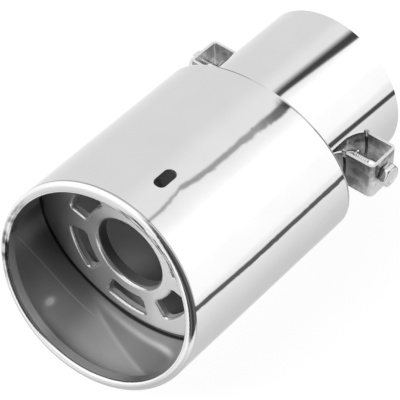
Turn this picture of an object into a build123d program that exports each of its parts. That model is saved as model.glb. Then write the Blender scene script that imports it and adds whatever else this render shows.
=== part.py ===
"""Exhaust tip: an oval slash-cut barrel with a rolled lip, on a round inlet pipe with two clamp bolts.

Millimetres. +Y runs along the pipe and out of the inlet, +X is the oval's wide direction, +Z is up.
The origin is the centre of the inlet pipe's mouth, so the whole tip lies on the -Y side of it.
"""

import os
from math import cos, radians, sin, tan

from build123d import *

# Inlet pipe
inlet_diameter = 63.0
inlet_wall = 1.0
inlet_exposed = 46.0  # from the mouth to the barrel's rear edge
inlet_inside = 22.0  # from the barrel's rear edge to the pipe's inner end

# Oval barrel
barrel_width = 86.0
barrel_wall = 1.0
barrel_length = 89.0  # along the axis, from the rear edge to the slanted mouth
slant_angle = 21.25  # the mouth leans back at the top
weld_fit = 0.05  # gap between pieces that are welded together

# Rolled lip of the mouth
lip_width = 3.8
lip_depth = 4.4
lip_outer_round = 2.3
lip_inner_round = 1.3
lip_roll_wall = 1.4  # metal left at the nose of the roll

# Vent slot in the barrel's top
vent_length = 9.6
vent_width = 4.8
vent_offset = 6.2  # sideways from the top line
vent_setback = 57.1  # in front of the barrel's rear edge

# Rear end plate, an oval ring that closes the barrel round the pipe
end_plate_thickness = 1.2
end_plate_recess = 0.4
end_plate_ring = 0.5  # width of the ring where the oval is narrowest

# Inner face plate
plate_sheet = 1.2
plate_setback = 7.2  # behind the mouth's highest point
plate_flange = 8.0
plate_shoulder = 2.2
pattern_turn = -4.0  # the hole pattern's turn about the axis, in degrees
pattern_offset = -1.0  # the hole pattern's sideways place
hole_diameter = 29.0
hole_roll = 1.5
hole_collar = 5.0
slot_count = 6
slot_span = 40.0  # degrees
slot_web = 5.2  # between the centre hole and the slots
slot_margin = 4.6  # between the slots and the plate's narrowest edge
slot_corner = 1.6
slot_roll = 1.1
slot_collar = 3.0

# Clamp brackets
bracket_sheet = 1.1
bracket_width = 14.6
bracket_height = 15.0
bracket_reach = 12.2  # from the pipe's skin to the bracket's outer face
bracket_fold = 2.0
bracket_setback = 20.0  # of the right bracket, behind the barrel's rear edge
bracket_stagger = 3.8  # the left bracket stands this much nearer the pipe's mouth
bracket_stand_off = 0.3  # root gap that the tack welds bridge

# Clamp bolts
bolt_diameter = 5.0
bolt_head_flats = 8.0
bolt_head_height = 3.5
bolt_head_sides = 6
bolt_head_gap = 0.2
bolt_thread_fit = 0.05
bolt_pipe_clearance = 0.5
bolt_tip_cover = 0.4  # the tip stops this far inside the pipe's wall
bolt_tip_chamfer = 0.6
bolt_head_chamfer_angle = 30.0

# Worked-out sizes
inlet_radius = inlet_diameter / 2
bore_radius = inlet_radius - inlet_wall
half_width = barrel_width / 2
half_height = inlet_radius + 2 * weld_fit + end_plate_ring + barrel_wall
slant = radians(slant_angle)
rear_y = -inlet_exposed
front_y = rear_y - barrel_length
plate_y = front_y + half_height * tan(slant) + plate_setback
plate_half_width = half_width - barrel_wall - weld_fit
plate_half_height = half_height - barrel_wall - weld_fit
hole_radius = hole_diameter / 2
slot_inner = hole_radius + slot_web
slot_outer = plate_half_height - slot_margin
right_bracket_y = rear_y + bracket_setback
left_bracket_y = right_bracket_y + bracket_stagger
bracket_x = inlet_radius + bracket_reach
bolt_radius = bolt_diameter / 2
bolt_seat_x = bracket_x + bolt_head_gap
bolt_length = bolt_seat_x - bore_radius - bolt_tip_cover


def mouth_plane(depth):
    """Plane parallel to the slanted mouth, a given distance along the axis behind it."""
    return Plane(origin=(0, front_y + depth, 0), x_dir=(1, 0, 0), z_dir=(0, -cos(slant), sin(slant)))


def oval_core(inset, depth):
    """Oval solid from the barrel's rear edge to a slanted end, inset from the barrel's skin."""
    with BuildPart() as core:
        with BuildSketch(Plane.XZ.offset(-rear_y)):
            Ellipse(half_width - inset, half_height - inset)
        extrude(amount=barrel_length + half_height)
        split(bisect_by=mouth_plane(depth), keep=Keep.BOTTOM)
    return core.part


def nose_edges():
    """Edges of the flat nose of the barrel's mouth, the inner one first."""
    nose = outer_barrel.faces().filter_by(GeomType.PLANE).sort_by(Axis.Y)[0]
    return nose.edges().sort_by(SortBy.LENGTH)


def plate_rims():
    """Rims of the face plate's holes on its front face, the centre hole's first."""
    front_face = inner_face_plate.faces().sort_by(Axis.Y)[0]
    return front_face.inner_wires().sort_by_distance((pattern_offset, plate_y, 0))


def channel_outline(inset):
    """Outline of the right bracket's folded channel, inset from its outer faces."""
    with BuildSketch() as outline:
        with Locations((bracket_x - inset, right_bracket_y)):
            Rectangle(bracket_x, bracket_width - 2 * inset, align=(Align.MAX, Align.CENTER))
        fillet(outline.vertices().group_by(Axis.X)[-1], bracket_fold - inset)
    return outline.sketch


# Outer barrel: skin, rolled lip and vent slot
with BuildPart() as roll_hollow:
    add(oval_core(barrel_wall, lip_roll_wall))
    add(oval_core(lip_width - barrel_wall, 0), mode=Mode.SUBTRACT)

with BuildPart() as outer_barrel:
    add(oval_core(0, 0))
    add(oval_core(lip_width, -half_height), mode=Mode.SUBTRACT)
    fillet(nose_edges()[-1], lip_outer_round)
    fillet(nose_edges()[0], lip_inner_round)
    add(oval_core(barrel_wall, lip_depth), mode=Mode.SUBTRACT)
    add(roll_hollow.part, mode=Mode.SUBTRACT)
    with BuildSketch(Plane.XY.offset(half_height)):
        with Locations((vent_offset, rear_y - vent_setback)):
            SlotOverall(vent_length, vent_width, rotation=90)
    extrude(amount=-half_height, mode=Mode.SUBTRACT)

# Inlet pipe with a clearance hole on each side for a bolt
with BuildPart() as inlet_pipe:
    with BuildSketch(Plane.XZ):
        Circle(inlet_radius)
        Circle(bore_radius, mode=Mode.SUBTRACT)
    extrude(amount=inlet_exposed + inlet_inside)
    for side, bolt_y in ((1, right_bracket_y), (-1, left_bracket_y)):
        with BuildSketch(Plane.YZ):
            with Locations((bolt_y, 0)):
                Circle(bolt_radius + bolt_pipe_clearance)
        extrude(amount=side * inlet_diameter, mode=Mode.SUBTRACT)

# Rear end plate
with BuildPart() as rear_end_plate:
    with BuildSketch(Plane.XZ.offset(-rear_y + end_plate_recess)):
        Ellipse(plate_half_width, plate_half_height)
        Circle(inlet_radius + weld_fit, mode=Mode.SUBTRACT)
    extrude(amount=end_plate_thickness)

# Inner face plate: dished sheet with a collared hole and pressed slots
with BuildSketch() as slot_outline:
    with BuildLine():
        slot_bottom = CenterArc((0, 0), slot_inner, -slot_span / 2, slot_span)
        slot_top = CenterArc((0, 0), slot_outer, -slot_span / 2, slot_span)
        Line(slot_bottom @ 0, slot_top @ 0)
        Line(slot_bottom @ 1, slot_top @ 1)
    make_face()
    fillet(slot_outline.vertices(), slot_corner)

with BuildSketch() as slot_collar_outline:
    add(slot_outline.sketch)
    offset(amount=plate_sheet)

plate_front = Plane.XZ.offset(-plate_y)
slot_start = pattern_turn + 180 / slot_count

with BuildPart() as inner_face_plate:
    with BuildSketch(plate_front):
        Ellipse(plate_half_width, plate_half_height)
    extrude(amount=-plate_flange)
    fillet(inner_face_plate.faces().sort_by(Axis.Y)[0].edges(), plate_shoulder)
    with BuildSketch(plate_front.offset(-plate_sheet)):
        Ellipse(plate_half_width - plate_sheet, plate_half_height - plate_sheet)
    extrude(amount=-plate_flange, mode=Mode.SUBTRACT)
    with BuildSketch(plate_front):
        with Locations((pattern_offset, 0)):
            Circle(hole_radius + plate_sheet)
    extrude(amount=-hole_collar)
    with BuildSketch(plate_front):
        with Locations((pattern_offset, 0)):
            with PolarLocations(0, slot_count, slot_start):
                add(slot_collar_outline.sketch)
    extrude(amount=-slot_collar)
    with BuildSketch(plate_front):
        with Locations((pattern_offset, 0)):
            Circle(hole_radius)
            with PolarLocations(0, slot_count, slot_start):
                add(slot_outline.sketch)
    extrude(amount=-plate_flange, mode=Mode.SUBTRACT)
    slot_rims = plate_rims()[1:]
    fillet([edge for rim in slot_rims for edge in rim.edges()], slot_roll)
    fillet(plate_rims()[0].edges(), hole_roll)

# Clamp brackets: folded channels, cut to stand just off the pipe's skin
with BuildPart() as clamp_bracket_right:
    with BuildSketch(Plane.XY.offset(-bracket_height / 2)):
        add(channel_outline(0))
        add(channel_outline(bracket_sheet), mode=Mode.SUBTRACT)
    extrude(amount=bracket_height)
    with BuildSketch(Plane.XZ):
        Circle(inlet_radius + bracket_stand_off)
    extrude(amount=inlet_exposed, mode=Mode.SUBTRACT)
    with BuildSketch(Plane.YZ):
        with Locations((right_bracket_y, 0)):
            Circle(bolt_radius + bolt_thread_fit)
    extrude(amount=bracket_x + bracket_sheet, mode=Mode.SUBTRACT)

# Clamp bolts: hexagon heads with a turned chamfer, on plain shanks of the thread's outer diameter
head_face_radius = bolt_head_flats / 2
head_base_radius = head_face_radius + bolt_head_height / tan(radians(bolt_head_chamfer_angle))

with BuildPart() as clamp_bolt_right:
    with BuildSketch(Plane.YZ.offset(bolt_seat_x)):
        with Locations((right_bracket_y, 0)):
            RegularPolygon(head_face_radius, bolt_head_sides, major_radius=False)
    extrude(amount=bolt_head_height)
    with BuildSketch(Plane.YZ.offset(bolt_seat_x)):
        with Locations((right_bracket_y, 0)):
            Circle(head_base_radius)
    extrude(amount=bolt_head_height, taper=90 - bolt_head_chamfer_angle, mode=Mode.INTERSECT)
    with BuildSketch(Plane.YZ.offset(bolt_seat_x)):
        with Locations((right_bracket_y, 0)):
            Circle(bolt_radius)
    extrude(amount=-bolt_length)
    tip = clamp_bolt_right.faces().sort_by(Axis.X)[0]
    chamfer(tip.edges(), bolt_tip_chamfer)

# The left bracket and bolt: mirrored, and staggered along the pipe
left_place = Pos(0, bracket_stagger, 0)

with BuildPart() as clamp_bracket_left:
    add(left_place * mirror(clamp_bracket_right.part, about=Plane.YZ, mode=Mode.PRIVATE))

with BuildPart() as clamp_bolt_left:
    add(left_place * mirror(clamp_bolt_right.part, about=Plane.YZ, mode=Mode.PRIVATE))

pieces = {
    "outer_barrel": outer_barrel,
    "inner_face_plate": inner_face_plate,
    "inlet_pipe": inlet_pipe,
    "rear_end_plate": rear_end_plate,
    "clamp_bracket_left": clamp_bracket_left,
    "clamp_bracket_right": clamp_bracket_right,
    "clamp_bolt_left": clamp_bolt_left,
    "clamp_bolt_right": clamp_bolt_right,
}
os.makedirs("parts", exist_ok=True)
for name, piece in pieces.items():
    piece.part.label = name
    export_step(piece.part, f"parts/{name}.step")
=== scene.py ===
"""Exhaust tip: looks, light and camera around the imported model, in metres and in its frame."""

from math import cos, degrees, pi, radians, sin, sqrt, tan

import bmesh
import bpy
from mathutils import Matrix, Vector, noise


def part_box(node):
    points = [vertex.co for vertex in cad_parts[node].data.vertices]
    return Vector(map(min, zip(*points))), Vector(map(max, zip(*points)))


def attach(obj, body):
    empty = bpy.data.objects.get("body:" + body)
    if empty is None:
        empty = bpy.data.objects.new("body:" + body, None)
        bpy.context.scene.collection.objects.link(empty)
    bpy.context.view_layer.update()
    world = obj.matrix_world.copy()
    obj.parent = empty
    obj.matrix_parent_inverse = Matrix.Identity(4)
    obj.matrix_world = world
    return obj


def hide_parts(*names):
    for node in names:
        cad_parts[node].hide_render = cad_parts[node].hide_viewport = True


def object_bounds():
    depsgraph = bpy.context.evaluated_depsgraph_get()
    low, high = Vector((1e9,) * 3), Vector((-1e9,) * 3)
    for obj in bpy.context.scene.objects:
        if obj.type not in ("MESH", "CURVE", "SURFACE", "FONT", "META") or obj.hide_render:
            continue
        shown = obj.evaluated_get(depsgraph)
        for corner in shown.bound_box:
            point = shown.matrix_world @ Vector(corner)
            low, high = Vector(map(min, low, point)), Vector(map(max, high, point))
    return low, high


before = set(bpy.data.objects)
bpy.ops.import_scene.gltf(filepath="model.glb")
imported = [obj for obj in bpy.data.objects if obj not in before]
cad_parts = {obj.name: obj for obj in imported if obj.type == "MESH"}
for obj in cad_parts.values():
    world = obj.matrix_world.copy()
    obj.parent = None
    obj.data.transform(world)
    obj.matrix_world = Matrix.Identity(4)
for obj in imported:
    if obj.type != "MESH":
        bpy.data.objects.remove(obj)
cad_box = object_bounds()

MM = 0.001

# Sizes of the solids that the looks follow
barrel_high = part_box("outer_barrel")[1]
HALF_WIDTH = barrel_high.x
HALF_HEIGHT = barrel_high.z
BARREL_REAR = barrel_high.y
INLET_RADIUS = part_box("inlet_pipe")[1].x
PLATE_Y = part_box("inner_face_plate")[0].y
SHEET = 1 * MM
MOUTH_Y = -135 * MM  # where the slanted mouth crosses the axis
MOUTH_SLANT = radians(21.25)
LIP_DEPTH = 4.4 * MM
PATTERN_X = -1 * MM  # the plate's holes sit a little to one side
HOLE_COLLAR_RADIUS = 17 * MM  # the centre hole's collar lies within it, the slots' collars outside
VENT_X = 6.2 * MM
VENT_Y = -103.1 * MM

EVEN = (1, 1, 1)  # grain with no direction


class Nodes:
    """Adds linked nodes to one node tree. Most methods return an output socket."""

    def __init__(self, tree):
        self.tree = tree

    def fill(self, socket, value):
        if isinstance(value, bpy.types.NodeSocket):
            self.tree.links.new(value, socket)
        else:
            socket.default_value = value

    def add(self, kind, inputs=(), **settings):
        node = self.tree.nodes.new("ShaderNode" + kind)
        for name, value in settings.items():
            setattr(node, name, value)
        for key, value in dict(inputs).items():
            self.fill(node.inputs[key], value)
        return node

    def math(self, operation, *values):
        return self.add("Math", enumerate(values), operation=operation).outputs[0]

    def sum(self, *values):
        total = values[0]
        for value in values[1:]:
            total = self.math("ADD", total, value)
        return total

    def product(self, *values):
        total = values[0]
        for value in values[1:]:
            total = self.math("MULTIPLY", total, value)
        return total

    def minus(self, first, second):
        return self.math("SUBTRACT", first, second)

    def scale(self, value, factor, base):
        """The value times a factor, plus a base."""
        return self.math("MULTIPLY_ADD", value, factor, base)

    def square(self, value):
        return self.math("POWER", value, 2)

    def radius(self, first, second):
        """Distance from an axis, from the two coordinates across it."""
        return self.math("SQRT", self.sum(self.square(first), self.square(second)))

    def larger(self, first, second):
        return self.math("MAXIMUM", first, second)

    def smaller(self, first, second):
        return self.math("MINIMUM", first, second)

    def smooth(self, value, start, end):
        """0 at start, 1 at end, with soft ends; start may be the larger."""
        inputs = {"Value": value, "From Min": start, "From Max": end}
        return self.add("MapRange", inputs, interpolation_type="SMOOTHSTEP").outputs[0]

    def slope(self, value, start, end):
        """A straight line between two (value, result) points, level beyond them."""
        inputs = {
            "Value": value, "From Min": start[0], "From Max": end[0], "To Min": start[1], "To Max": end[1]}
        return self.add("MapRange", inputs, clamp=True).outputs[0]

    def band(self, value, rise, fall):
        """1 between two soft edges, each a (start, end) pair."""
        return self.product(self.smooth(value, *rise), self.smooth(value, fall[1], fall[0]))

    def bell(self, *shares):
        """A soft bump of 1 where every (value, centre, width) share is at its centre."""
        total = 0.0
        for value, centre, width in shares:
            off = self.math("DIVIDE", self.minus(value, centre), width)
            total = self.scale(off, off, total)
        return self.math("EXPONENT", self.product(total, -1))

    def mix(self, factor, first, second):
        node = self.add("Mix", {0: factor, 2: first, 3: second}, data_type="FLOAT", clamp_factor=True)
        return node.outputs[0]

    def ramp(self, value, stops):
        """Grey by straight lines between (value, grey) stops."""
        low, high = stops[0][0], stops[-1][0]
        node = self.add("ValToRGB", {0: self.slope(value, (low, 0), (high, 1))})
        elements = node.color_ramp.elements
        while len(elements) < len(stops):
            elements.new(0.5)
        for element, (at, grey) in zip(elements, stops):
            element.position = (at - low) / (high - low)
            element.color = (grey, grey, grey, 1)
        return node.outputs["Color"]

    def split(self, vector):
        return self.add("SeparateXYZ", {0: vector}).outputs

    def place(self):
        """The point on the object, in metres in its frame, whole and split."""
        vector = self.add("TexCoord").outputs["Object"]
        return vector, *self.split(vector)

    def grain(self, vector, stretch, scale, detail=3):
        """Noise from 0 to 1; stretch squeezes the pattern along each axis."""
        placed = self.add("Mapping", {"Vector": vector, "Scale": stretch}).outputs[0]
        return self.add("TexNoise", {"Vector": placed, "Scale": scale, "Detail": detail}).outputs[0]


def metal(name):
    """A new metal, its nodes and its shader."""
    look = bpy.data.materials.new(name)
    look.use_nodes = True
    return look, Nodes(look.node_tree), look.node_tree.nodes["Principled BSDF"]


def finish_metal(nodes, shader, colour, roughness, height, metallic=1.0):
    """Feeds a metal's grey, roughness and surface height in metres to its shader."""
    nodes.fill(shader.inputs["Metallic"], metallic)
    nodes.fill(shader.inputs["Base Color"], colour)
    nodes.fill(shader.inputs["Roughness"], roughness)
    bump = nodes.add("Bump", {"Strength": 1, "Distance": 1, "Height": height})
    nodes.fill(shader.inputs["Normal"], bump.outputs[0])


# Polished skin of the barrel and the pipe
POLISH_GREY = [(0.3, 0.905), (0.7, 0.93)]
POLISH_WAVE = 0.013 * MM


def polish(nodes, point):
    """Grey, roughness and height of the mirror-polished skin."""
    lines = nodes.grain(point, (1, 0.03, 1), 900)
    patches = nodes.grain(point, EVEN, 60, 2)
    waves = nodes.grain(point, (1, 0.35, 1), 45, 1)
    roughness = nodes.scale(lines, 0.035, 0.025)
    return nodes.ramp(patches, POLISH_GREY), roughness, nodes.product(waves, POLISH_WAVE)


class BarrelPlace:
    """Sockets that say where a point of the barrel lies."""

    def __init__(self, nodes):
        self.point, self.x, self.y, self.z = nodes.place()
        across = nodes.math("DIVIDE", self.x, HALF_WIDTH - SHEET / 2)
        upward = nodes.math("DIVIDE", self.z, HALF_HEIGHT - SHEET / 2)
        # 1 in the middle of the sheet, less inside it
        self.oval = nodes.sum(nodes.square(across), nodes.square(upward))
        # The turn about the axis in degrees: 0 at the right, 90 at the top, -90 at the bottom
        self.around = nodes.product(nodes.math("ARCTAN2", upward, across), degrees(1))
        along = nodes.product(nodes.minus(self.y, MOUTH_Y), cos(MOUTH_SLANT))
        # The depth behind the plane of the slanted mouth
        self.from_mouth = nodes.sum(along, nodes.product(self.z, -sin(MOUTH_SLANT)))


# Inner wall: painted light and shade by its turn, and a factor of painted shade by its place along Y on the
# left
WALL_PAINTED_SHADE = [
    (-180, 0.33), (-160, 0.37), (-147, 0.38), (-133, 0.42), (-122, 0.45), (-114, 0.39), (-95, 0.44),
    (-80, 0.46), (-64, 0.36), (-54, 0.3), (0, 0.4), (90, 0.3), (150, 0.55), (168, 0.46), (180, 0.33)]
WALL_DEPTH_SHADE = [(-0.145, 1.5), (-0.136, 1.4), (-0.132, 1.1), (-0.126, 0.9), (-0.121, 0.62), (-0.116, 0.5)]
WALL_LEFT = (-102, -122)
WALL_METALLIC = 0.4

# The wall is darker near the lip, but not on the left
NEAR_LIP_DARKER = 0.4
NEAR_LIP_DEPTH = (13 * MM, 5 * MM)
NEAR_LIP_TURN = (-118, -98)


def wall_sheet(nodes, at):
    """Grey, roughness and height of the unpolished inner wall, before its marks; its grey is painted light
    and shade by turn and depth, with random stains.
    """
    streaks = nodes.grain(at.point, (1, 0.12, 1), 70, 2)
    stains = nodes.grain(at.point, (1, 0.4, 1), 24, 1)
    blotches = nodes.sum(nodes.product(streaks, 0.25), nodes.product(stains, 0.25), 0.75)
    # Painted shade: darker towards the face plate on the left, lighter towards the mouth
    depth_shade = nodes.mix(nodes.smooth(at.around, *WALL_LEFT), 1, nodes.ramp(at.y, WALL_DEPTH_SHADE))
    near_lip = nodes.product(nodes.smooth(at.from_mouth, *NEAR_LIP_DEPTH),
                             nodes.smooth(at.around, *NEAR_LIP_TURN))
    lip_shade = nodes.scale(near_lip, -NEAR_LIP_DARKER, 1)
    colour = nodes.product(nodes.ramp(at.around, WALL_PAINTED_SHADE), blotches, depth_shade, lip_shade)
    return colour, nodes.scale(streaks, 0.08, 0.26), nodes.product(streaks, 0.004 * MM)


# Two painted reflections, bands across the wall's bottom: their place at turn 0, and their lean for each
# degree
NEAR_REFLECTION_GREY = 0.5
NEAR_BAND_Y = -126.7 * MM
NEAR_BAND_LEAN = -0.085 * MM
NEAR_BAND_FOLD = -0.012 * MM  # past FOLD_TURN, by the square of the turn
FOLD_TURN = -65
NEAR_BAND_WIDTH = 1.3 * MM
NEAR_BAND_ENDS = ((-118, -86), (-60, -46))
FAR_REFLECTION_GREY = 0.16
FAR_BAND_Y = -152.7 * MM
FAR_BAND_LEAN = -0.3 * MM
FAR_BAND_WIDTH = 0.9 * MM
FAR_BAND_ENDS = ((-112, -98), (-66, -48))


def wall_reflection_bands(nodes, at):
    """Grey that the two painted reflection bands add, and the lighter sheet in front of the far one."""
    fold = nodes.square(nodes.larger(nodes.sum(at.around, -FOLD_TURN), 0))
    lean = nodes.product(at.around, NEAR_BAND_LEAN)
    near_y = nodes.sum(lean, nodes.product(fold, NEAR_BAND_FOLD), NEAR_BAND_Y)
    near = nodes.product(nodes.bell((nodes.minus(at.y, near_y), 0, NEAR_BAND_WIDTH)),
                         nodes.band(at.around, *NEAR_BAND_ENDS))
    far_off = nodes.minus(at.y, nodes.scale(at.around, FAR_BAND_LEAN, FAR_BAND_Y))
    far = nodes.bell((far_off, 0, FAR_BAND_WIDTH))
    before_far = nodes.smooth(far_off, 1 * MM, -1 * MM)
    both_far = nodes.product(nodes.sum(far, before_far), nodes.band(at.around, *FAR_BAND_ENDS))
    return nodes.sum(nodes.product(near, NEAR_REFLECTION_GREY), nodes.product(both_far, FAR_REFLECTION_GREY))


# A thin lighter line, a painted highlight spot and a pale streak on the wall's left
LINE_GREY = 0.2
LINE_Y = -123.5 * MM
LINE_BEND = -0.0031 * MM  # before LINE_TURN, by the square of the turn
LINE_TURN = -128
LINE_WIDTH = 0.25 * MM
LINE_ENDS = ((-172, -165), (-112, -100))
HIGHLIGHT_GREY = 0.9
SPOT_X = -24.3 * MM
SPOT_Y = -131.6 * MM
SPOT_WIDTH = 1.1 * MM
SPOT_LENGTH = 2 * MM
PALE_STREAK_GREY = 0.2
PALE_STREAK_TURN = -166
PALE_STREAK_SPREAD = 6
PALE_STREAK_Y = (-132 * MM, -122 * MM)


def wall_marks(nodes, at):
    """Grey that the thin lighter line, the painted highlight and the pale streak add on the left."""
    bend = nodes.square(nodes.smaller(nodes.sum(at.around, -LINE_TURN), 0))
    off = nodes.minus(at.y, nodes.scale(bend, LINE_BEND, LINE_Y))
    line = nodes.product(nodes.bell((off, 0, LINE_WIDTH)), nodes.band(at.around, *LINE_ENDS))
    spot = nodes.bell((at.x, SPOT_X, SPOT_WIDTH), (at.y, SPOT_Y, SPOT_LENGTH))
    pale_streak = nodes.product(nodes.bell((at.around, PALE_STREAK_TURN, PALE_STREAK_SPREAD)), nodes.smooth(at.y, *PALE_STREAK_Y))
    return nodes.sum(nodes.product(line, LINE_GREY), nodes.product(spot, HIGHLIGHT_GREY),
                     nodes.product(pale_streak, PALE_STREAK_GREY))


# Painted shade in the gap between the wall and the face plate: its front edge by turn, and where it ends
# behind
CREVICE_SHADE_GREY = 0.01
CREVICE_LEVEL = 0.93
CREVICE_FRONT = ((-112, PLATE_Y - 0.3 * MM), (-92, PLATE_Y - 0.8 * MM))
CREVICE_SOFT = (-0.5 * MM, 0.4 * MM)
CREVICE_BACK = (PLATE_Y + 1 * MM, PLATE_Y + 0.6 * MM)


def wall_crevice_shade(nodes, at):
    """How dark the painted shade of the gap is at a point of the wall; it is wider at the right."""
    past = nodes.smooth(nodes.minus(at.y, nodes.slope(at.around, *CREVICE_FRONT)), *CREVICE_SOFT)
    return nodes.product(past, nodes.smooth(at.y, *CREVICE_BACK), CREVICE_LEVEL)


# Painted reflections on the rolled lip, by the oval, the turn and the depth behind the mouth
STREAK_REFLECTION_GREY = 0.08
STREAK_REFLECTION_ENDS = ((34, 48), (80, 90))
STREAK_REFLECTION_OVAL = (0.965, 0.95)
STREAK_REFLECTION_REPEAT = (0.1, 60)  # of its streaks, for each degree and across the oval
LEFT_REFLECTION_GREY = 0.16
LEFT_REFLECTION_REACH = (34, 14)  # degrees from the left
LEFT_REFLECTION_OVAL = (0.99, 0.93)
CREASE_REFLECTION_GREY = 0.2
CREASE_LEVEL = 0.55
CREASE_DEPTH = ((1.55 * MM, 1.7 * MM), (2.1 * MM, 2.3 * MM))
CREASE_OVAL = (0.98, 1)
CREASE_Z = (-5 * MM, 10 * MM)


def lip_painted_reflections(nodes, at, colour):
    """The skin's grey with painted dark reflections: streaks at the lip's upper right, patches at its left
    and a line behind it where the roll begins.
    """
    # Painted reflection: dark streaks on the lip's upper right
    unrolled = {0: nodes.product(at.around, STREAK_REFLECTION_REPEAT[0]), 1: nodes.product(at.oval, STREAK_REFLECTION_REPEAT[1])}
    streaks = nodes.grain(nodes.add("CombineXYZ", unrolled).outputs[0], EVEN, 1, 2)
    streak_reflections = nodes.product(nodes.smooth(streaks, 0.47, 0.53), nodes.smooth(at.oval, *STREAK_REFLECTION_OVAL),
                           nodes.band(at.around, *STREAK_REFLECTION_ENDS))
    # Painted reflection: dark patches on the lip's left
    from_left = nodes.math("PINGPONG", nodes.sum(at.around, 180), 180)
    left_reflections = nodes.product(nodes.smooth(from_left, *LEFT_REFLECTION_REACH), nodes.smooth(at.oval, *LEFT_REFLECTION_OVAL),
                          nodes.smooth(nodes.grain(at.point, EVEN, 240, 2), 0.3, 0.65))
    # Painted reflection: a dark line where the roll begins, on the upper half only
    crease_reflection = nodes.product(nodes.band(at.from_mouth, *CREASE_DEPTH), nodes.smooth(at.oval, *CREASE_OVAL),
                           nodes.smooth(at.z, *CREASE_Z), CREASE_LEVEL)
    colour = nodes.mix(streak_reflections, colour, STREAK_REFLECTION_GREY)
    colour = nodes.mix(left_reflections, colour, LEFT_REFLECTION_GREY)
    return nodes.mix(crease_reflection, colour, CREASE_REFLECTION_GREY)


# Relief of the skin round the vent slot and at the rear edge
SWELL_HEIGHT = 0.28 * MM
SWELL_WIDTH = 9 * MM
SWELL_LENGTH = 7 * MM
SWELL_BEHIND = 1.5 * MM  # its centre lies this far behind the slot's
SWELL_Z = (0, 10 * MM)  # on the top alone
EDGE_ROLL = 0.8 * MM
EDGE_DROP = 0.3 * MM
EDGE_FLATS = ((118, 6), (78, 15))  # the turn and the spread of the places where the edge isn't rolled


def skin_relief(nodes, at):
    """Height of the swell round the punched vent slot and of the rolled rear edge, flat in two places."""
    swell = nodes.bell((at.x, VENT_X, SWELL_WIDTH), (at.y, VENT_Y + SWELL_BEHIND, SWELL_LENGTH))
    swell = nodes.product(swell, SWELL_HEIGHT, nodes.smooth(at.z, *SWELL_Z))
    roll = nodes.square(nodes.smooth(at.y, BARREL_REAR - EDGE_ROLL, BARREL_REAR))
    flat = nodes.sum(*(nodes.bell((at.around, turn, spread)) for turn, spread in EDGE_FLATS))
    return nodes.sum(swell, nodes.product(roll, nodes.minus(1, flat), -EDGE_DROP))


# Where the barrel's skin ends: at the middle of the sheet, and at the lip's curl with a painted shadow line
INSIDE_OVAL = (1.003, 0.997)
INSIDE_DEPTH = (LIP_DEPTH - 0.3 * MM, LIP_DEPTH)
CURL_OVAL = (0.9, 0.86)
CURL_DEPTH = (0.6 * MM, 1.6 * MM)
EDGE_SHADOW_GREY = 0.06
EDGE_LINE_AT = 0.45  # of the curl's fade
EDGE_LINE_WIDTH = 0.17

# The chamber behind the face plate, its grey by X: painted shade, darker to the right
CHAMBER_Y = (PLATE_Y + 1 * MM, PLATE_Y + 3 * MM)
CHAMBER_PAINTED_SHADE = [
    (-0.045, 0.95), (-0.022, 0.92), (-0.008, 0.32), (0.0025, 0.17), (0.012, 0.22), (0.045, 0.22)]
CHAMBER_ROUGHNESS = 0.8


def barrel_look():
    """Polished skin and lip, dull sheet inside with painted light and shade, and a painted shadow line
    where the lip's curl turns dull.
    """
    look, nodes, shader = metal("barrel_steel")
    at = BarrelPlace(nodes)
    inside = nodes.product(nodes.smooth(at.oval, *INSIDE_OVAL), nodes.smooth(at.from_mouth, *INSIDE_DEPTH))
    chamber = nodes.product(inside, nodes.smooth(at.y, *CHAMBER_Y))
    curl = nodes.product(nodes.smooth(at.oval, *CURL_OVAL), nodes.smooth(at.from_mouth, *CURL_DEPTH))
    # Painted shadow along the inner edge of the lip's curl
    edge_shadow = nodes.bell((curl, EDGE_LINE_AT, EDGE_LINE_WIDTH))
    dull = nodes.larger(inside, curl)

    wall_colour, wall_roughness, wall_height = wall_sheet(nodes, at)
    wall_colour = nodes.sum(wall_colour, wall_reflection_bands(nodes, at), wall_marks(nodes, at))
    wall_colour = nodes.mix(wall_crevice_shade(nodes, at), wall_colour, CREVICE_SHADE_GREY)
    # Painted shade in the chamber behind the plate
    wall_colour = nodes.mix(chamber, wall_colour, nodes.ramp(at.x, CHAMBER_PAINTED_SHADE))
    wall_colour = nodes.mix(edge_shadow, wall_colour, EDGE_SHADOW_GREY)

    skin_colour, skin_roughness, waves = polish(nodes, at.point)
    skin_colour = nodes.mix(edge_shadow, lip_painted_reflections(nodes, at, skin_colour), EDGE_SHADOW_GREY)
    skin_height = nodes.sum(waves, skin_relief(nodes, at))

    finish_metal(nodes, shader,
                 nodes.mix(dull, skin_colour, wall_colour),
                 nodes.mix(dull, skin_roughness, nodes.mix(chamber, wall_roughness, CHAMBER_ROUGHNESS)),
                 nodes.mix(dull, skin_height, wall_height),
                 nodes.mix(chamber, nodes.mix(dull, 1, WALL_METALLIC), 0))
    return look


BORE_EDGE = (INLET_RADIUS - 0.45 * SHEET, INLET_RADIUS - 0.55 * SHEET)
BORE_ROUGHNESS = 0.32
BORE_METALLIC = 0.3


def inlet_look():
    """Polished pipe with a dull bore."""
    look, nodes, shader = metal("inlet_steel")
    point, x, _, z = nodes.place()
    skin_colour, skin_roughness, skin_height = polish(nodes, point)
    inside = nodes.smooth(nodes.radius(x, z), *BORE_EDGE)
    streaks = nodes.grain(point, (1, 0.05, 1), 260)
    finish_metal(nodes, shader,
                 nodes.mix(inside, skin_colour, nodes.scale(streaks, 0.2, 0.35)),
                 nodes.mix(inside, skin_roughness, BORE_ROUGHNESS),
                 nodes.mix(inside, skin_height, nodes.product(streaks, 0.01 * MM)),
                 nodes.mix(inside, 1, BORE_METALLIC))
    return look


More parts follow.
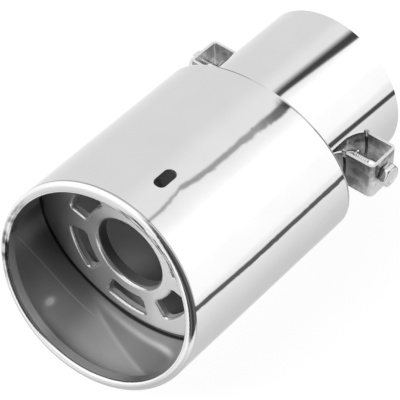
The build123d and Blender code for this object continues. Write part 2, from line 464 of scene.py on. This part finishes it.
# Face plate: painted shade by X, darker at the left, and painted light at the top, with its rims and its
# collars
PLATE_PAINTED_SHADE = [
    (-0.04, 0.15), (-0.029, 0.21), (-0.017, 0.31), (-0.009, 0.37), (0.003, 0.56), (0.011, 0.86),
    (0.04, 0.92)]
PLATE_TOP = (8 * MM, 18 * MM)
PLATE_TOP_PAINTED_LIGHT = 0.2
PLATE_METALLIC = 0.2
RIM_GREY = 0.92
RIM_ROUGHNESS = 0.2
RIM_METALLIC = 0.85
RIM_DEPTH = ((PLATE_Y + 0.03 * MM, PLATE_Y + 0.2 * MM), (PLATE_Y + 1 * MM, PLATE_Y + 1.5 * MM))
COLLAR_DEPTH = (PLATE_Y + 1 * MM, PLATE_Y + 1.8 * MM)
HOLE_COLLAR_SHADE_GREY = 0.15
SLOT_COLLAR_SHADE_GREY = 0.6
COLLAR_SPLIT = (HOLE_COLLAR_RADIUS - 0.5 * MM, HOLE_COLLAR_RADIUS + 0.5 * MM)


def plate_look():
    """Satin stamped sheet with painted shade, darker at the left, and painted light at the top, with bright
    rims and collars darkened by painted shade.
    """
    look, nodes, shader = metal("stamped_steel")
    point, x, y, z = nodes.place()
    grain = nodes.grain(point, EVEN, 1400, 2)
    stains = nodes.grain(point, EVEN, 90, 3)
    # Painted light at the top, over painted shade by X that darkens the left
    top = nodes.product(nodes.smooth(z, *PLATE_TOP), PLATE_TOP_PAINTED_LIGHT)
    sheet = nodes.sum(nodes.ramp(x, PLATE_PAINTED_SHADE), nodes.scale(stains, 0.1, -0.05), top)
    rim = nodes.band(y, *RIM_DEPTH)
    radius = nodes.radius(nodes.minus(x, PATTERN_X), z)
    # Painted shade on the collars, which lead back into the chamber; darkest round the centre hole
    collar_colour = nodes.mix(nodes.smooth(radius, *COLLAR_SPLIT), HOLE_COLLAR_SHADE_GREY, SLOT_COLLAR_SHADE_GREY)
    collar = nodes.smooth(y, *COLLAR_DEPTH)
    finish_metal(nodes, shader,
                 nodes.mix(collar, nodes.mix(rim, sheet, RIM_GREY), collar_colour),
                 nodes.mix(rim, nodes.scale(grain, 0.1, 0.34), RIM_ROUGHNESS),
                 nodes.product(grain, 0.004 * MM),
                 nodes.mix(rim, PLATE_METALLIC, RIM_METALLIC))
    return look


END_PLATE_ROUGHNESS = 0.4
END_PLATE_METALLIC = 0.5


def end_plate_look():
    """Dull, soot-stained sheet of the ring behind the barrel."""
    look, nodes, shader = metal("end_plate_steel")
    point, *_ = nodes.place()
    stains = nodes.grain(point, EVEN, 70, 5)
    finish_metal(nodes, shader, nodes.scale(stains, 0.25, 0.55), END_PLATE_ROUGHNESS,
                 nodes.product(stains, 0.02 * MM), END_PLATE_METALLIC)
    return look


# Brackets: how much painted shade darkens each towards its feet at the pipe, and how far it spreads
BRACKET_FOOT_SHADE = {"clamp_bracket_left": 0.4, "clamp_bracket_right": 0.55}
FOOT_SHADE_SPREAD = (1 * MM, 8 * MM)  # inwards from the outer face
FOOT_SHADE_LEAN = 0.35  # it reaches further out at the top
FOOT_SHADE_WITHIN = 0.45  # of its level, on the inner faces
GAP_SHADOW_RADIUS = (INLET_RADIUS + 0.95 * MM, INLET_RADIUS + 0.5 * MM)
GAP_SHADOW_LEVEL = 0.97

# Their greys: factors of painted shade and light for the outer faces' top and bottom and for the inner
# faces, and the cut edge on top
OUTSIDE_TOP = 0.62
OUTSIDE_BOTTOM = 1.2
WITHIN_SHADE = 1.25
PATCH_DARKER = 0.42
BRACKET_BRIGHTEST = 0.96
TOP_EDGE_GREY = 0.95


def bracket_look(node, foot_shade_level):
    """Rolled sheet with fine lines along the strip, with painted shade inside and towards the feet, and
    painted light and shade on its outer faces.
    """
    look, nodes, shader = metal(f"{node}_steel")
    point, x, y, z = nodes.place()
    low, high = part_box(node)
    outer = max(abs(low.x), abs(high.x))
    half = (high.y - low.y) / 2
    reach = nodes.math("ABSOLUTE", x)
    off = nodes.math("ABSOLUTE", nodes.minus(y, (low.y + high.y) / 2))
    within = nodes.product(nodes.smooth(off, half - 0.4 * SHEET, half - 0.7 * SHEET),
                           nodes.smooth(reach, outer - 0.4 * SHEET, outer - 0.7 * SHEET))

    # Painted shade spreads from the feet, and a painted shadow darkens the gap under them
    inward = nodes.sum(reach, nodes.product(z, -FOOT_SHADE_LEAN))
    foot_shade = nodes.product(nodes.smooth(inward, outer - FOOT_SHADE_SPREAD[0], outer - FOOT_SHADE_SPREAD[1]), foot_shade_level)
    dark = nodes.larger(foot_shade, nodes.product(within, FOOT_SHADE_WITHIN * foot_shade_level))
    gap_shadow = nodes.smooth(nodes.radius(x, z), *GAP_SHADOW_RADIUS)
    dark = nodes.larger(dark, nodes.product(gap_shadow, GAP_SHADOW_LEVEL))

    lines = nodes.grain(point, (1, 1, 0.04), 1500)
    stains = nodes.grain(point, EVEN, 260, 4)
    patches = nodes.smooth(nodes.grain(point, EVEN, 230, 4), 0.58, 0.42)
    bright = nodes.sum(nodes.product(lines, 0.08), nodes.product(stains, 0.16), 0.95)
    bright = nodes.product(bright, nodes.scale(patches, -PATCH_DARKER, 1))
    # Painted shade at the outer faces' top, painted light at their bottom and on the inner faces
    outside_shade = nodes.mix(nodes.smooth(z, high.z, low.z + 2 * MM), OUTSIDE_TOP, OUTSIDE_BOTTOM)
    shade = nodes.mix(within, outside_shade, WITHIN_SHADE)
    colour = nodes.smaller(nodes.product(bright, nodes.minus(1, dark), shade), BRACKET_BRIGHTEST)
    top_edge = nodes.smooth(z, high.z - 0.25 * MM, high.z - 0.1 * MM)
    finish_metal(nodes, shader,
                 nodes.mix(top_edge, colour, TOP_EDGE_GREY),
                 nodes.scale(stains, 0.16, 0.24),
                 nodes.sum(nodes.product(lines, 0.004 * MM), nodes.product(stains, 0.02 * MM)))
    return look


def zinc_look():
    """Bright zinc plate over a forged head."""
    look, nodes, shader = metal("zinc_plate")
    point, *_ = nodes.place()
    spangle = nodes.grain(point, EVEN, 900, 3)
    dents = nodes.grain(point, EVEN, 350, 2)
    finish_metal(nodes, shader, nodes.scale(spangle, 0.08, 0.92), nodes.scale(spangle, 0.12, 0.1),
                 nodes.product(dents, 0.03 * MM))
    return look


def weld_look():
    """Tack weld: bright ripples with grey scale between them."""
    look, nodes, shader = metal("weld_steel")
    point, *_ = nodes.place()
    crust = nodes.grain(point, EVEN, 1200, 4)
    finish_metal(nodes, shader, nodes.scale(crust, 0.3, 0.6), nodes.scale(crust, 0.2, 0.12),
                 nodes.product(crust, 0.05 * MM))
    return look


# Rounding of the brackets' cut edges
SHEET_EDGE = 0.14 * MM
SHEET_EDGE_STEPS = 2
SHEET_EDGE_ANGLE = radians(50)


def dress_nodes():
    """Gives every kept CAD node its own metal, and the brackets the round edges of cut sheet."""
    looks = {
        "outer_barrel": barrel_look(),
        "inlet_pipe": inlet_look(),
        "inner_face_plate": plate_look(),
        "rear_end_plate": end_plate_look(),
    }
    for name, foot_shade_level in BRACKET_FOOT_SHADE.items():
        looks[name] = bracket_look(name, foot_shade_level)
        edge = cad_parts[name].modifiers.new("sheet_edge", "BEVEL")
        edge.width = SHEET_EDGE
        edge.segments = SHEET_EDGE_STEPS
        edge.limit_method = "ANGLE"
        edge.angle_limit = SHEET_EDGE_ANGLE
        edge.harden_normals = True
    for name, look in looks.items():
        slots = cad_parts[name].data.materials
        slots.clear()
        slots.append(look)


SHARP_ANGLE = radians(32)  # edges of new pieces that are sharper than this stay sharp


def new_piece(name, mesh_maker, look, body):
    """Links a new mesh with the given finish, and makes it ride on a body."""
    mesh = bpy.data.meshes.new(name)
    shape = bmesh.new()
    mesh_maker(shape)
    bmesh.ops.recalc_face_normals(shape, faces=shape.faces)
    shape.to_mesh(mesh)
    shape.free()
    mesh.shade_smooth()
    mesh.set_sharp_from_angle(angle=SHARP_ANGLE)
    mesh.materials.append(look)
    piece = bpy.data.objects.new(name, mesh)
    bpy.context.scene.collection.objects.link(piece)
    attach(piece, body)
    return piece


def skin_rings(shape, rows):
    """Joins rings of points into a closed skin, with a flat face at each end."""
    rings = [[shape.verts.new(spot) for spot in row] for row in rows]
    count = len(rings[0])
    for first, second in zip(rings, rings[1:]):
        for step in range(count):
            after = (step + 1) % count
            shape.faces.new((first[step], first[after], second[after], second[step]))
    shape.faces.new(rings[0])
    shape.faces.new(rings[-1])


# Clamp bolts
HEAD_FLATS = 8 * MM
HEAD_HEIGHT = 3.5 * MM
HEAD_CHAMFER = radians(30)
HEAD_EDGE = 0.3 * MM  # rounding of the head's edges
HEAD_CORNER = 0.4 * HEAD_EDGE  # broken off each corner
HEAD_DISH = 0.2 * MM  # forged hollow in the head's face
HEAD_FACE = 0.94 * HEAD_FLATS / 2  # radius of the head's face inside the chamfer
SHANK_RADIUS = 2.5 * MM
THREAD_PITCH = 0.8 * MM
THREAD_DEPTH = 0.45 * MM
THREAD_STEEPNESS = 2.6  # of the groove's sides, as a share of its depth for each turn
THREAD_CREST = 0.12  # what the flat crest takes off the groove, as a share of its depth
THREAD_STEPS = 10  # rings for each turn of the thread
SMOOTH_SHANK = 6.2 * MM  # under the head, before the thread starts
TIP_CHAMFER = 0.6 * MM
TIP_FACE = 0.3 * SHANK_RADIUS
BOLT_STEPS = 96


def hexagon_radius(angle):
    """Distance from a hexagon's centre to its side, with the corners just broken."""
    side = HEAD_FLATS / 2 / cos(angle % (pi / 3) - pi / 6)
    return min(side, HEAD_FLATS / 2 / cos(pi / 6) - HEAD_CORNER)


def head_rings(angle):
    """The head's (along, radius) points at one angle, from its dished face to the shank; 0 is the seat."""
    side = hexagon_radius(angle)
    side_top = HEAD_HEIGHT - (side - HEAD_FACE) * tan(HEAD_CHAMFER)
    return [
        (HEAD_HEIGHT - HEAD_DISH, 0.35 * HEAD_FACE),
        (HEAD_HEIGHT - HEAD_DISH, 0.6 * HEAD_FACE),
        (HEAD_HEIGHT - 0.8 * HEAD_DISH, 0.68 * HEAD_FACE),
        (HEAD_HEIGHT - 0.1 * HEAD_DISH, 0.76 * HEAD_FACE),
        (HEAD_HEIGHT, 0.82 * HEAD_FACE),
        (HEAD_HEIGHT, HEAD_FACE - HEAD_EDGE),
        (HEAD_HEIGHT - 0.3 * HEAD_EDGE, HEAD_FACE),
        (side_top + 0.4 * HEAD_EDGE, side - HEAD_EDGE),
        (side_top, side - 0.3 * HEAD_EDGE),
        (side_top - HEAD_EDGE, side),
        (2 * HEAD_EDGE, side),
        (HEAD_EDGE, side - 0.3 * HEAD_EDGE),
        (0, side - 1.5 * HEAD_EDGE),
        (0, SHANK_RADIUS + HEAD_EDGE),
        (-HEAD_EDGE, SHANK_RADIUS),
    ]


def thread_rings(angle, length):
    """The thread's points at one angle, run out at the smooth shank and chamfered at the tip."""
    steps = round((length - SMOOTH_SHANK) / THREAD_PITCH * THREAD_STEPS)
    rings = []
    for step in range(steps + 1):
        depth = SMOOTH_SHANK + (length - SMOOTH_SHANK) * step / steps
        turn = (depth / THREAD_PITCH + angle / (2 * pi)) % 1
        groove = THREAD_DEPTH * min(1, max(0, THREAD_STEEPNESS * min(turn, 1 - turn) - THREAD_CREST))
        run_out = min(1, (depth - SMOOTH_SHANK) / THREAD_PITCH)
        tip = max(0, TIP_CHAMFER - (length - depth))
        rings.append((-depth, SHANK_RADIUS - max(groove * run_out, tip)))
    return rings + [(-length, TIP_FACE)]


def bolt_maker(seat_x, bolt_y, length):
    """Mesh maker of a bolt whose head points away from the pipe on the seat's side."""
    side = 1 if seat_x > 0 else -1

    def make(shape):
        lines = []
        for step in range(BOLT_STEPS):
            angle = 2 * pi * step / BOLT_STEPS
            lines.append([(seat_x + side * along, bolt_y + radius * cos(angle), radius * sin(angle))
                          for along, radius in head_rings(angle) + thread_rings(angle, length)])
        skin_rings(shape, zip(*lines))
    return make


def add_bolts():
    """Threaded bolts in place of the plain ones."""
    zinc = zinc_look()
    for side_name, side in (("left", -1), ("right", 1)):
        node = f"clamp_bolt_{side_name}"
        low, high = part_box(node)
        outer = high.x if side > 0 else low.x
        seat_x = outer - side * HEAD_HEIGHT
        length = (high.x - low.x) - HEAD_HEIGHT
        maker = bolt_maker(seat_x, (low.y + high.y) / 2, length)
        bolt = new_piece(f"threaded_bolt_{side_name}", maker, zinc, f"bolt_{side_name}")
        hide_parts(node)


# Tack welds at the brackets' feet
BEAD_RADIUS = 0.95 * MM
BEAD_HALF_LENGTH = 1.5 * MM
BEAD_BLUNTNESS = 0.8  # at 1 the ends are round, and blunter below
BEAD_RIPPLES = 4
BEAD_RIPPLE_DEPTH = 0.1  # of the radius
BEAD_LUMPS = 0.22  # of the radius
BEAD_LUMP_SIZE = 1.1 * MM
BEAD_STEPS = 28
BEAD_SIDES = 20
BEAD_LIFT = 0.25 * MM  # of its centre line above the pipe's skin
BEAD_HEIGHT_SHARE = 0.9  # of the bracket's half height


def bead_maker(centre, along, seed):
    """Mesh maker of a short rippled bead, its ends round and its body a little uneven."""
    out = Vector((centre.x, 0, centre.z)).normalized()
    across = along.cross(out).normalized()

    def make(shape):
        rows = []
        for step in range(1, BEAD_STEPS):
            place = -cos(pi * step / BEAD_STEPS)
            ripple = 1 + BEAD_RIPPLE_DEPTH * cos(2 * pi * BEAD_RIPPLES * place)
            girth = BEAD_RADIUS * sqrt(1 - place * place) ** BEAD_BLUNTNESS * ripple
            row = []
            for turn in range(BEAD_SIDES):
                angle = 2 * pi * turn / BEAD_SIDES
                ray = out * cos(angle) + across * sin(angle)
                spot = centre + along * (place * BEAD_HALF_LENGTH) + ray * girth
                lump = noise.noise(spot / BEAD_LUMP_SIZE + Vector((seed, 0, 0)))
                row.append(spot + ray * girth * BEAD_LUMPS * lump)
            rows.append(row)
        skin_rings(shape, rows)
    return make


def add_tack_welds():
    """Two beads at the upper and lower end of each bracket leg's foot."""
    weld = weld_look()
    for side_name in ("left", "right"):
        low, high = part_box(f"clamp_bracket_{side_name}")
        side = 1 if high.x > 0 else -1
        for leg_name, leg_y in (("front", low.y + SHEET / 2), ("rear", high.y - SHEET / 2)):
            for end_name, end_z in (("upper", high.z), ("lower", low.z)):
                z = end_z * BEAD_HEIGHT_SHARE
                x = side * sqrt(INLET_RADIUS ** 2 - z ** 2)
                out = Vector((x, 0, z)).normalized()
                along = Vector((0, 1, 0)).cross(out).normalized()
                seed = 10 * leg_y / MM + z / MM
                maker = bead_maker(Vector((x, leg_y, z)) + out * BEAD_LIFT, along, seed)
                name = f"tack_weld_{side_name}_{leg_name}_{end_name}"
                new_piece(name, maker, weld, "tip")


# Light tent: what each direction gives, by its turn about the tip's axis in degrees, 0 at the right
TENT_TURN = [
    (-180, 0.735), (-172, 0.75), (-159, 0.79), (-150, 0.82), (-141, 0.9), (-131, 0.93), (-118, 0.9),
    (-105, 0.7), (-92, 0.61), (-60, 0.64), (-45, 0.69), (-22, 0.79), (-15, 0.84), (0, 0.9), (7, 1.04),
    (13, 1.05), (33, 1.07), (39, 1.12), (72, 1.12), (77, 1.03), (82, 0.95), (87, 0.91), (94, 0.84),
    (111, 0.82), (120, 0.765), (126, 0.735), (180, 0.735)]

# How far along +Y a direction points: in the photograph's view each skin meets its own range
PIPE_FROM = 0.593  # the pipe's skin meets the directions beyond, the barrel's skin those before
FRONT_EDGE = (0.49, 0.28)  # the rolled lip meets those before
BACK_EDGE = (0.66, 0.82)  # the sheet's rear edges meet those beyond

# Tones in front, by how far a direction points along +Z or +Y
FRONT_BY_HEIGHT = [(-1, 0.55), (-0.8, 0.6), (-0.6, 0.75), (-0.35, 0.98), (0, 1.02), (0.3, 1.1), (1, 1.1)]
FRONT_FADE = [(-1, 1), (-0.95, 0.95), (-0.86, 0.72), (-0.78, 0.72), (-0.6, 0.9), (-0.4, 1), (1, 1)]
RIGHT_BY_DEPTH = [
    (-1, 0.02), (-0.95, 0.03), (-0.87, 0.17), (-0.8, 0.14), (-0.65, 0.05), (-0.4, 0.04), (-0.2, 0.08),
    (0, 0.13), (1, 0.14)]

# The dark quarter at the upper right in front: its soft edges along X by Y, in height and along Y
RIGHT_X = ((-0.4, -0.06), (0, -0.26))
RIGHT_X_FULL = 0.1
RIGHT_HEIGHT = (-0.16, 0.03)
RIGHT_LEAN = 0.2  # its lower edge drops to the right
RIGHT_Y = (0.49, 0.33)

# The back's grey, between two turns
BACK_BY_TURN = ((50, 0.3), (95, 0.62))

# Dark seams: their edges in degrees and their greys, on lines between two values of Y
THIN_LOWER = ((0.572, 90.2), (0.594, 85.5))
THIN_LOWER_RISE = ((0.522, 1.6), (0.542, 0))
THIN_UPPER = ((0.522, 94), (0.542, 95.2))
THIN_SOFT = (1.2, 1.6)
THIN_GREY = ((0.58, 0.37), (0.591, 0.12))
WIDE_LOWER = ((0.597, 87.8), (0.632, 78.6))
WIDE_UPPER = ((0.597, 98), (0.632, 93.5))
WIDE_SOFT = (1.6, 5.5)
WIDE_GREY = 0.055
SIDE_BARREL = ((0.513, -6), (0.54, -9.2))
SIDE_BARREL_GREY = 0.11
SIDE_PIPE = ((0.599, -8.7), (0.629, -13.8))
SIDE_PIPE_GREY = 0.07
SIDE_HALF = 3.8
SIDE_SOFT = (1.3, 1.3)


def seam(nodes, turn, lower, upper, soft):
    """1 between two turns that may vary, each edge with its own softness in degrees."""
    past_lower = nodes.smooth(nodes.minus(turn, lower), -soft[0], soft[0])
    below_upper = nodes.smooth(nodes.minus(upper, turn), -soft[1], soft[1])
    return nodes.product(past_lower, below_upper)


def add_seams(nodes, tent, turn, y):
    """The tent with a seam above, thin over the barrel and wide over the pipe, and one at the side."""
    pipe = nodes.smooth(y, PIPE_FROM - 0.001, PIPE_FROM + 0.001)
    barrel = nodes.minus(1, pipe)
    thin_lower = nodes.sum(nodes.slope(y, *THIN_LOWER), nodes.slope(y, *THIN_LOWER_RISE))
    thin = seam(nodes, turn, thin_lower, nodes.slope(y, *THIN_UPPER), THIN_SOFT)
    wide = seam(nodes, turn, nodes.slope(y, *WIDE_LOWER), nodes.slope(y, *WIDE_UPPER), WIDE_SOFT)
    tent = nodes.mix(nodes.product(thin, barrel), tent, nodes.slope(y, *THIN_GREY))
    tent = nodes.mix(nodes.product(wide, pipe), tent, WIDE_GREY)
    middle = nodes.mix(pipe, nodes.slope(y, *SIDE_BARREL), nodes.slope(y, *SIDE_PIPE))
    side = seam(nodes, turn, nodes.sum(middle, -SIDE_HALF), nodes.sum(middle, SIDE_HALF), SIDE_SOFT)
    return nodes.mix(side, tent, nodes.mix(pipe, SIDE_BARREL_GREY, SIDE_PIPE_GREY))


def add_front(nodes, tent, x, y, z):
    """The tent with its front, lighter above than below, and a dark quarter at the upper right."""
    front_tone = nodes.product(nodes.ramp(z, FRONT_BY_HEIGHT), nodes.ramp(y, FRONT_FADE))
    tent = nodes.mix(nodes.smooth(y, *FRONT_EDGE), tent, front_tone)
    height = nodes.scale(x, RIGHT_LEAN, z)
    right = nodes.product(nodes.smooth(x, nodes.slope(y, *RIGHT_X), RIGHT_X_FULL),
                          nodes.smooth(height, *RIGHT_HEIGHT), nodes.smooth(y, *RIGHT_Y))
    return nodes.mix(right, tent, nodes.ramp(y, RIGHT_BY_DEPTH))


def tent_world():
    """White tent with dark seams along the tip, a dark quarter in front, and a grey back."""
    world = bpy.data.worlds.new("tent")
    bpy.context.scene.world = world
    world.use_nodes = True
    world.node_tree.nodes.clear()
    nodes = Nodes(world.node_tree)
    x, y, z = nodes.split(nodes.add("TexCoord").outputs["Generated"])
    turn = nodes.product(nodes.math("ARCTAN2", z, x), degrees(1))
    tent = add_seams(nodes, nodes.ramp(turn, TENT_TURN), turn, y)
    tent = add_front(nodes, tent, x, y, z)
    tent = nodes.mix(nodes.smooth(y, *BACK_EDGE), tent, nodes.slope(turn, *BACK_BY_TURN))
    # The camera sees plain white, while light and reflections come from the tent
    seen = nodes.add("LightPath").outputs["Is Camera Ray"]
    background = nodes.add("Background", {"Color": nodes.mix(seen, tent, 1)})
    nodes.add("OutputWorld", {0: background.outputs[0]})


def stage_look(name):
    """A new material of the stage with no nodes yet, and its nodes."""
    look = bpy.data.materials.new(name)
    look.use_nodes = True
    look.node_tree.nodes.clear()
    return look, Nodes(look.node_tree)


def stage_sheet(name, look, low, high, level):
    """Flat level sheet of the stage between two corners."""
    mesh = bpy.data.meshes.new(name)
    corners = [(low[0], low[1]), (high[0], low[1]), (high[0], high[1]), (low[0], high[1])]
    mesh.from_pydata([(x, y, level) for x, y in corners], [], [(0, 1, 2, 3)])
    mesh.materials.append(look)
    sheet = bpy.data.objects.new(name, mesh)
    bpy.context.scene.collection.objects.link(sheet)
    return sheet


FLOOR_HALF = 2
FLOOR_GAP = 0.1 * MM  # below the tip
FLOOR_GREY = 0.7
FLOOR_SEEN_GREY = 0.16  # the share of the white that a shadow can darken
FLOOR_SEEN_GLOW = 0.925


def add_floor():
    """Pale floor that shows white to the camera and keeps the tip's soft shadow."""
    look, nodes = stage_look("floor")
    seen = nodes.add("LightPath").outputs["Is Camera Ray"]
    paint = nodes.add("BsdfDiffuse", {"Color": nodes.mix(seen, FLOOR_GREY, FLOOR_SEEN_GREY)})
    glow = nodes.add("Emission", {"Strength": nodes.product(seen, FLOOR_SEEN_GLOW)})
    both = nodes.add("AddShader", {0: paint.outputs[0], 1: glow.outputs[0]})
    nodes.add("OutputMaterial", {0: both.outputs[0]})
    level = cad_box[0].z - FLOOR_GAP
    floor = stage_sheet("floor", look, (-FLOOR_HALF, -FLOOR_HALF), (FLOOR_HALF, FLOOR_HALF), level)
    # The metal shows the tent's lower half in place of the floor
    floor.visible_glossy = False


# Soft edges of the card along X and Y
CARD_X = ((-0.06, -0.035), (-0.01, 0.01))
CARD_Y = ((-0.185, -0.17), (-0.16, -0.148))
CARD_GAP = 0.05 * MM  # below the tip


def add_card():
    """White card with soft edges under the lip's lowest part, seen only by reflections."""
    look, nodes = stage_look("card")
    _, x, y, _ = nodes.place()
    cover = nodes.product(nodes.band(x, *CARD_X), nodes.band(y, *CARD_Y))
    clear = nodes.add("BsdfTransparent")
    glow = nodes.add("Emission", {"Strength": 1})
    both = nodes.add("MixShader", {0: cover, 1: clear.outputs[0], 2: glow.outputs[0]})
    nodes.add("OutputMaterial", {0: both.outputs[0]})
    low = (CARD_X[0][0], CARD_Y[0][0])
    high = (CARD_X[1][1], CARD_Y[1][1])
    card = stage_sheet("card", look, low, high, cad_box[0].z - CARD_GAP)
    card.visible_camera = False
    card.visible_diffuse = False
    card.visible_shadow = False


LAMP_POWER = 2.6
LAMP_SIZE = 0.35
LAMP_PLACE = Vector((-0.315, -0.58, 0.42))
LAMP_AIM = Vector((0, -0.125, 0))


def add_lamp():
    """Soft lamp at the front left, which lights the inside through the mouth."""
    lamp = bpy.data.lights.new("front_lamp", "AREA")
    lamp.energy = LAMP_POWER
    lamp.size = LAMP_SIZE
    placed = bpy.data.objects.new("front_lamp", lamp)
    bpy.context.scene.collection.objects.link(placed)
    placed.location = LAMP_PLACE
    placed.rotation_euler = (LAMP_AIM - LAMP_PLACE).to_track_quat("-Z", "Y").to_euler()
    placed.visible_glossy = False


CAMERA_PLACE = Vector((0.320152, -0.468582, 0.512018))
CAMERA_LOOK = Vector((-0.444, 0.543, -0.713))
CAMERA_LENS = 182.02  # millimetres, like the sensor's width
CAMERA_SENSOR = 36


def add_camera():
    """Camera at the photograph's viewing angle."""
    camera = bpy.data.cameras.new("camera")
    camera.lens = CAMERA_LENS
    camera.sensor_width = CAMERA_SENSOR
    placed = bpy.data.objects.new("camera", camera)
    bpy.context.scene.collection.objects.link(placed)
    placed.location = CAMERA_PLACE
    placed.rotation_euler = CAMERA_LOOK.to_track_quat("-Z", "Y").to_euler()
    bpy.context.scene.camera = placed


dress_nodes()
add_bolts()
add_tack_welds()
tent_world()
add_floor()
add_card()
add_lamp()
add_camera()
bpy.context.scene.view_settings.view_transform = "Standard"
